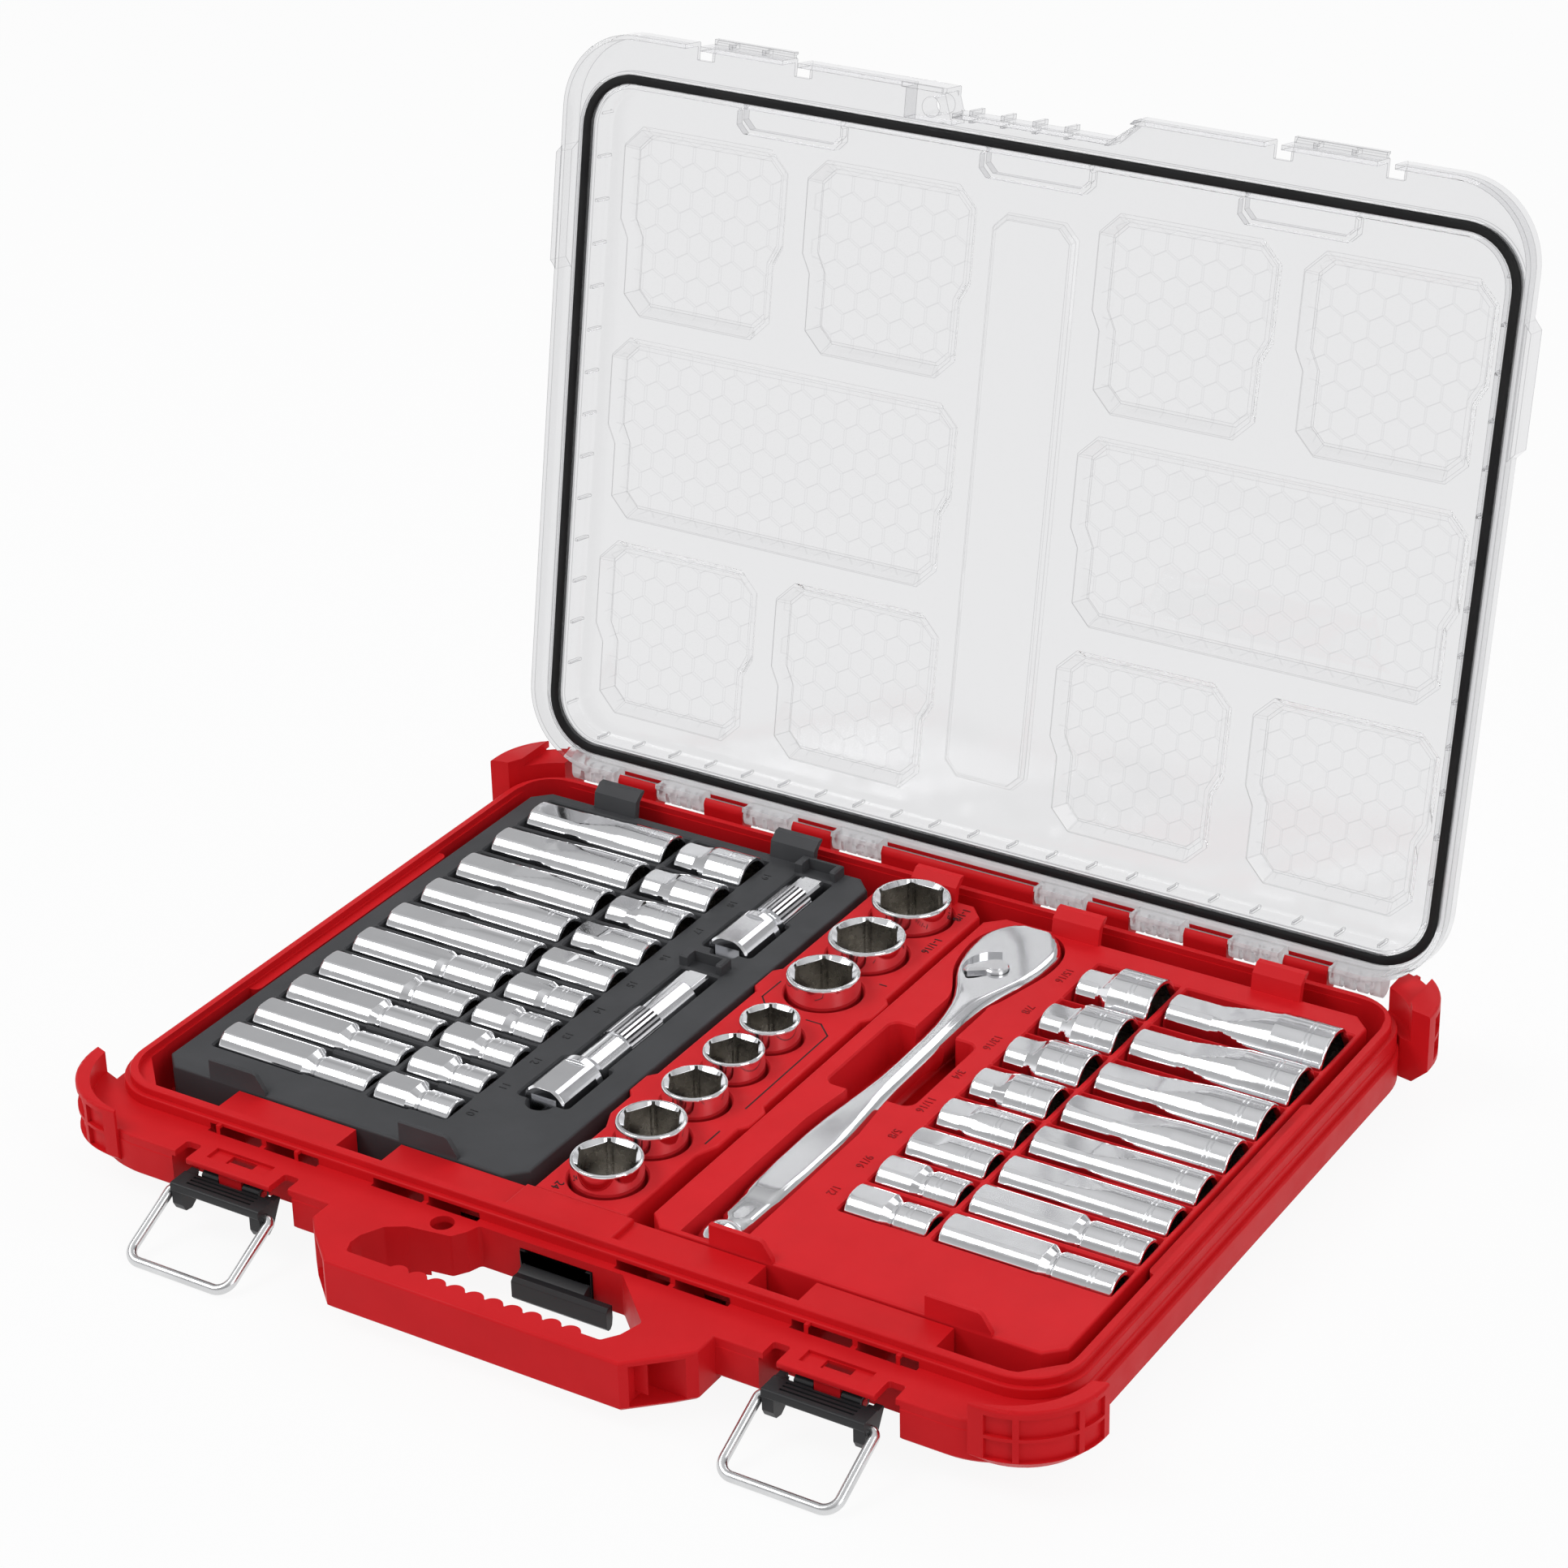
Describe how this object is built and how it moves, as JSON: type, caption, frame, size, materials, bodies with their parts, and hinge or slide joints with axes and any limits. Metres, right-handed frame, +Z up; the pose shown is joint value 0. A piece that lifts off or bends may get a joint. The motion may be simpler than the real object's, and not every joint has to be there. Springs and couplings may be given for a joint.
{
  "type": "socket wrench set in hinged case",
  "caption": "Shallow hinged case with a clear lid, handle and wire-loop latches, holding a ratchet, extension bars and rows of sockets in lift-out trays.",
  "frame": {"origin": "centre of the case's flat underside", "axes": "+X along the hinge, to the right seen from the handle; +Y from the handle to the hinge; +Z up"},
  "size_m": [0.502, 0.4889, 0.4011],
  "materials": {
    "red_plastic": "fine moulded texture",
    "grey_plastic": "fine moulded texture",
    "black_plastic": "satin",
    "clear_plastic": "clear moulded polycarbonate",
    "seal_rubber": "matt",
    "zinc_wire": "bright drawn wire",
    "chrome_steel": "polished chrome plate"
  },
  "bodies": {
    "case_base": {"case_base": "red_plastic"},
    "lid": {"lid": "clear_plastic", "lid_gasket": "seal_rubber"},
    "metric_tray": {"metric_tray": "grey_plastic"},
    "middle_tray": {"middle_tray": "red_plastic"},
    "sae_tray": {"sae_tray": "red_plastic"},
    "latch_lever_left": {"latch_lever_left": "black_plastic"},
    "latch_lever_right": {"latch_lever_right": "black_plastic"},
    "latch_bail_left": {"latch_bail_left": "zinc_wire"},
    "latch_bail_right": {"latch_bail_right": "zinc_wire"},
    "centre_latch": {"centre_latch": "black_plastic"},
    "ratchet_body": {"ratchet_body": "chrome_steel"},
    "ratchet_selector": {"ratchet_selector": "chrome_steel"},
    "ratchet_anvil": {"ratchet_anvil": "chrome_steel"},
    "socket_deep_10mm": {"socket_deep_10mm": "chrome_steel"},
    "socket_short_10mm": {"socket_short_10mm": "chrome_steel"},
    "socket_deep_11mm": {"socket_deep_11mm": "chrome_steel"},
    "socket_short_11mm": {"socket_short_11mm": "chrome_steel"},
    "socket_deep_12mm": {"socket_deep_12mm": "chrome_steel"},
    "socket_short_12mm": {"socket_short_12mm": "chrome_steel"},
    "socket_deep_13mm": {"socket_deep_13mm": "chrome_steel"},
    "socket_short_13mm": {"socket_short_13mm": "chrome_steel"},
    "socket_deep_14mm": {"socket_deep_14mm": "chrome_steel"},
    "socket_short_14mm": {"socket_short_14mm": "chrome_steel"},
    "socket_deep_15mm": {"socket_deep_15mm": "chrome_steel"},
    "socket_short_15mm": {"socket_short_15mm": "chrome_steel"},
    "socket_deep_16mm": {"socket_deep_16mm": "chrome_steel"},
    "socket_short_16mm": {"socket_short_16mm": "chrome_steel"},
    "socket_deep_17mm": {"socket_deep_17mm": "chrome_steel"},
    "socket_short_17mm": {"socket_short_17mm": "chrome_steel"},
    "socket_deep_18mm": {"socket_deep_18mm": "chrome_steel"},
    "socket_short_18mm": {"socket_short_18mm": "chrome_steel"},
    "socket_deep_19mm": {"socket_deep_19mm": "chrome_steel"},
    "socket_short_19mm": {"socket_short_19mm": "chrome_steel"},
    "extension_long": {"extension_long": "chrome_steel"},
    "extension_short": {"extension_short": "chrome_steel"},
    "socket_deep_1_2in": {"socket_deep_1_2in": "chrome_steel"},
    "socket_short_1_2in": {"socket_short_1_2in": "chrome_steel"},
    "socket_deep_9_16in": {"socket_deep_9_16in": "chrome_steel"},
    "socket_short_9_16in": {"socket_short_9_16in": "chrome_steel"},
    "socket_deep_5_8in": {"socket_deep_5_8in": "chrome_steel"},
    "socket_short_5_8in": {"socket_short_5_8in": "chrome_steel"},
    "socket_deep_11_16in": {"socket_deep_11_16in": "chrome_steel"},
    "socket_short_11_16in": {"socket_short_11_16in": "chrome_steel"},
    "socket_deep_3_4in": {"socket_deep_3_4in": "chrome_steel"},
    "socket_short_3_4in": {"socket_short_3_4in": "chrome_steel"},
    "socket_deep_13_16in": {"socket_deep_13_16in": "chrome_steel"},
    "socket_short_13_16in": {"socket_short_13_16in": "chrome_steel"},
    "socket_deep_7_8in": {"socket_deep_7_8in": "chrome_steel"},
    "socket_short_7_8in": {"socket_short_7_8in": "chrome_steel"},
    "socket_deep_15_16in": {"socket_deep_15_16in": "chrome_steel"},
    "socket_short_15_16in": {"socket_short_15_16in": "chrome_steel"},
    "socket_short_24mm": {"socket_short_24mm": "chrome_steel"},
    "socket_short_23mm": {"socket_short_23mm": "chrome_steel"},
    "socket_short_22mm": {"socket_short_22mm": "chrome_steel"},
    "socket_short_21mm": {"socket_short_21mm": "chrome_steel"},
    "socket_short_20mm": {"socket_short_20mm": "chrome_steel"},
    "socket_short_1in": {"socket_short_1in": "chrome_steel"},
    "socket_short_1_1_16in": {"socket_short_1_1_16in": "chrome_steel"},
    "socket_short_1_1_8in": {"socket_short_1_1_8in": "chrome_steel"}
  },
  "joints": [
    {"name": "lid_hinge", "type": "hinge", "parent": "case_base", "child": "lid", "pos_m": [0, 0.1765, 0.04], "axis": [-1, 0, 0], "range_deg": [-100.3, 0]},
    {"name": "latch_lever_left_pivot", "type": "hinge", "parent": "case_base", "child": "latch_lever_left", "pos_m": [-0.1475, -0.1875, 0.023], "axis": [-1, 0, 0], "range_deg": [-90, 0]},
    {"name": "latch_bail_left_pivot", "type": "hinge", "parent": "latch_lever_left", "child": "latch_bail_left", "pos_m": [-0.1475, -0.1975, 0.0192], "axis": [1, 0, 0], "range_deg": [-202.3, 0]},
    {"name": "latch_lever_right_pivot", "type": "hinge", "parent": "case_base", "child": "latch_lever_right", "pos_m": [0.1475, -0.1875, 0.023], "axis": [-1, 0, 0], "range_deg": [-90, 0]},
    {"name": "latch_bail_right_pivot", "type": "hinge", "parent": "latch_lever_right", "child": "latch_bail_right", "pos_m": [0.1475, -0.1975, 0.0192], "axis": [1, 0, 0], "range_deg": [-202.3, 0]},
    {"name": "centre_latch_push", "type": "slide", "parent": "case_base", "child": "centre_latch", "axis": [0, 1, 0], "range_m": [0, 0.005], "stiffness_N_per_m": 400, "springref_m": -0.002},
    {"name": "metric_tray_lift", "type": "slide", "parent": "case_base", "child": "metric_tray", "axis": [0, 0, 1], "range_m": [0, 0.06]},
    {"name": "middle_tray_lift", "type": "slide", "parent": "case_base", "child": "middle_tray", "axis": [0, 0, 1], "range_m": [0, 0.06]},
    {"name": "sae_tray_lift", "type": "slide", "parent": "case_base", "child": "sae_tray", "axis": [0, 0, 1], "range_m": [0, 0.06]},
    {"name": "ratchet_lift", "type": "slide", "parent": "sae_tray", "child": "ratchet_body", "axis": [0, 0, 1], "range_m": [0, 0.045]},
    {"name": "selector_swivel", "type": "hinge", "parent": "ratchet_body", "child": "ratchet_selector", "pos_m": [0.0595, 0.1038, 0.04], "axis": [0, 0, 1], "range_deg": [-80, 0]},
    {"name": "anvil_spin", "type": "hinge", "parent": "ratchet_body", "child": "ratchet_anvil", "pos_m": [0.058, 0.126, 0.017], "axis": [0, 0, 1], "continuous": true},
    {"name": "socket_deep_10mm_lift", "type": "slide", "parent": "metric_tray", "child": "socket_deep_10mm", "axis": [0, 0, 1], "range_m": [0, 0.035]},
    {"name": "socket_short_10mm_lift", "type": "slide", "parent": "metric_tray", "child": "socket_short_10mm", "axis": [0, 0, 1], "range_m": [0, 0.035]},
    {"name": "socket_deep_11mm_lift", "type": "slide", "parent": "metric_tray", "child": "socket_deep_11mm", "axis": [0, 0, 1], "range_m": [0, 0.035]},
    {"name": "socket_short_11mm_lift", "type": "slide", "parent": "metric_tray", "child": "socket_short_11mm", "axis": [0, 0, 1], "range_m": [0, 0.035]},
    {"name": "socket_deep_12mm_lift", "type": "slide", "parent": "metric_tray", "child": "socket_deep_12mm", "axis": [0, 0, 1], "range_m": [0, 0.035]},
    {"name": "socket_short_12mm_lift", "type": "slide", "parent": "metric_tray", "child": "socket_short_12mm", "axis": [0, 0, 1], "range_m": [0, 0.035]},
    {"name": "socket_deep_13mm_lift", "type": "slide", "parent": "metric_tray", "child": "socket_deep_13mm", "axis": [0, 0, 1], "range_m": [0, 0.035]},
    {"name": "socket_short_13mm_lift", "type": "slide", "parent": "metric_tray", "child": "socket_short_13mm", "axis": [0, 0, 1], "range_m": [0, 0.035]},
    {"name": "socket_deep_14mm_lift", "type": "slide", "parent": "metric_tray", "child": "socket_deep_14mm", "axis": [0, 0, 1], "range_m": [0, 0.035]},
    {"name": "socket_short_14mm_lift", "type": "slide", "parent": "metric_tray", "child": "socket_short_14mm", "axis": [0, 0, 1], "range_m": [0, 0.035]},
    {"name": "socket_deep_15mm_lift", "type": "slide", "parent": "metric_tray", "child": "socket_deep_15mm", "axis": [0, 0, 1], "range_m": [0, 0.035]},
    {"name": "socket_short_15mm_lift", "type": "slide", "parent": "metric_tray", "child": "socket_short_15mm", "axis": [0, 0, 1], "range_m": [0, 0.035]},
    {"name": "socket_deep_16mm_lift", "type": "slide", "parent": "metric_tray", "child": "socket_deep_16mm", "axis": [0, 0, 1], "range_m": [0, 0.035]},
    {"name": "socket_short_16mm_lift", "type": "slide", "parent": "metric_tray", "child": "socket_short_16mm", "axis": [0, 0, 1], "range_m": [0, 0.035]},
    {"name": "socket_deep_17mm_lift", "type": "slide", "parent": "metric_tray", "child": "socket_deep_17mm", "axis": [0, 0, 1], "range_m": [0, 0.035]},
    {"name": "socket_short_17mm_lift", "type": "slide", "parent": "metric_tray", "child": "socket_short_17mm", "axis": [0, 0, 1], "range_m": [0, 0.035]},
    {"name": "socket_deep_18mm_lift", "type": "slide", "parent": "metric_tray", "child": "socket_deep_18mm", "axis": [0, 0, 1], "range_m": [0, 0.035]},
    {"name": "socket_short_18mm_lift", "type": "slide", "parent": "metric_tray", "child": "socket_short_18mm", "axis": [0, 0, 1], "range_m": [0, 0.035]},
    {"name": "socket_deep_19mm_lift", "type": "slide", "parent": "metric_tray", "child": "socket_deep_19mm", "axis": [0, 0, 1], "range_m": [0, 0.035]},
    {"name": "socket_short_19mm_lift", "type": "slide", "parent": "metric_tray", "child": "socket_short_19mm", "axis": [0, 0, 1], "range_m": [0, 0.035]},
    {"name": "extension_long_lift", "type": "slide", "parent": "metric_tray", "child": "extension_long", "axis": [0, 0, 1], "range_m": [0, 0.035]},
    {"name": "extension_short_lift", "type": "slide", "parent": "metric_tray", "child": "extension_short", "axis": [0, 0, 1], "range_m": [0, 0.035]},
    {"name": "socket_deep_1_2in_lift", "type": "slide", "parent": "sae_tray", "child": "socket_deep_1_2in", "axis": [0, 0, 1], "range_m": [0, 0.035]},
    {"name": "socket_short_1_2in_lift", "type": "slide", "parent": "sae_tray", "child": "socket_short_1_2in", "axis": [0, 0, 1], "range_m": [0, 0.035]},
    {"name": "socket_deep_9_16in_lift", "type": "slide", "parent": "sae_tray", "child": "socket_deep_9_16in", "axis": [0, 0, 1], "range_m": [0, 0.035]},
    {"name": "socket_short_9_16in_lift", "type": "slide", "parent": "sae_tray", "child": "socket_short_9_16in", "axis": [0, 0, 1], "range_m": [0, 0.035]},
    {"name": "socket_deep_5_8in_lift", "type": "slide", "parent": "sae_tray", "child": "socket_deep_5_8in", "axis": [0, 0, 1], "range_m": [0, 0.035]},
    {"name": "socket_short_5_8in_lift", "type": "slide", "parent": "sae_tray", "child": "socket_short_5_8in", "axis": [0, 0, 1], "range_m": [0, 0.035]},
    {"name": "socket_deep_11_16in_lift", "type": "slide", "parent": "sae_tray", "child": "socket_deep_11_16in", "axis": [0, 0, 1], "range_m": [0, 0.035]},
    {"name": "socket_short_11_16in_lift", "type": "slide", "parent": "sae_tray", "child": "socket_short_11_16in", "axis": [0, 0, 1], "range_m": [0, 0.035]},
    {"name": "socket_deep_3_4in_lift", "type": "slide", "parent": "sae_tray", "child": "socket_deep_3_4in", "axis": [0, 0, 1], "range_m": [0, 0.035]},
    {"name": "socket_short_3_4in_lift", "type": "slide", "parent": "sae_tray", "child": "socket_short_3_4in", "axis": [0, 0, 1], "range_m": [0, 0.035]},
    {"name": "socket_deep_13_16in_lift", "type": "slide", "parent": "sae_tray", "child": "socket_deep_13_16in", "axis": [0, 0, 1], "range_m": [0, 0.035]},
    {"name": "socket_short_13_16in_lift", "type": "slide", "parent": "sae_tray", "child": "socket_short_13_16in", "axis": [0, 0, 1], "range_m": [0, 0.035]},
    {"name": "socket_deep_7_8in_lift", "type": "slide", "parent": "sae_tray", "child": "socket_deep_7_8in", "axis": [0, 0, 1], "range_m": [0, 0.035]},
    {"name": "socket_short_7_8in_lift", "type": "slide", "parent": "sae_tray", "child": "socket_short_7_8in", "axis": [0, 0, 1], "range_m": [0, 0.035]},
    {"name": "socket_deep_15_16in_lift", "type": "slide", "parent": "sae_tray", "child": "socket_deep_15_16in", "axis": [0, 0, 1], "range_m": [0, 0.035]},
    {"name": "socket_short_15_16in_lift", "type": "slide", "parent": "sae_tray", "child": "socket_short_15_16in", "axis": [0, 0, 1], "range_m": [0, 0.035]},
    {"name": "socket_short_24mm_lift", "type": "slide", "parent": "middle_tray", "child": "socket_short_24mm", "axis": [0, 0, 1], "range_m": [0, 0.045]},
    {"name": "socket_short_23mm_lift", "type": "slide", "parent": "middle_tray", "child": "socket_short_23mm", "axis": [0, 0, 1], "range_m": [0, 0.045]},
    {"name": "socket_short_22mm_lift", "type": "slide", "parent": "middle_tray", "child": "socket_short_22mm", "axis": [0, 0, 1], "range_m": [0, 0.045]},
    {"name": "socket_short_21mm_lift", "type": "slide", "parent": "middle_tray", "child": "socket_short_21mm", "axis": [0, 0, 1], "range_m": [0, 0.045]},
    {"name": "socket_short_20mm_lift", "type": "slide", "parent": "middle_tray", "child": "socket_short_20mm", "axis": [0, 0, 1], "range_m": [0, 0.045]},
    {"name": "socket_short_1in_lift", "type": "slide", "parent": "middle_tray", "child": "socket_short_1in", "axis": [0, 0, 1], "range_m": [0, 0.045]},
    {"name": "socket_short_1_1_16in_lift", "type": "slide", "parent": "middle_tray", "child": "socket_short_1_1_16in", "axis": [0, 0, 1], "range_m": [0, 0.045]},
    {"name": "socket_short_1_1_8in_lift", "type": "slide", "parent": "middle_tray", "child": "socket_short_1_1_8in", "axis": [0, 0, 1], "range_m": [0, 0.045]}
  ],
  "couplings": [
    {"joint": "latch_bail_left_pivot", "follows": "latch_lever_left_pivot", "ratio": 2.247},
    {"joint": "latch_bail_right_pivot", "follows": "latch_lever_right_pivot", "ratio": 2.247}
  ]
}
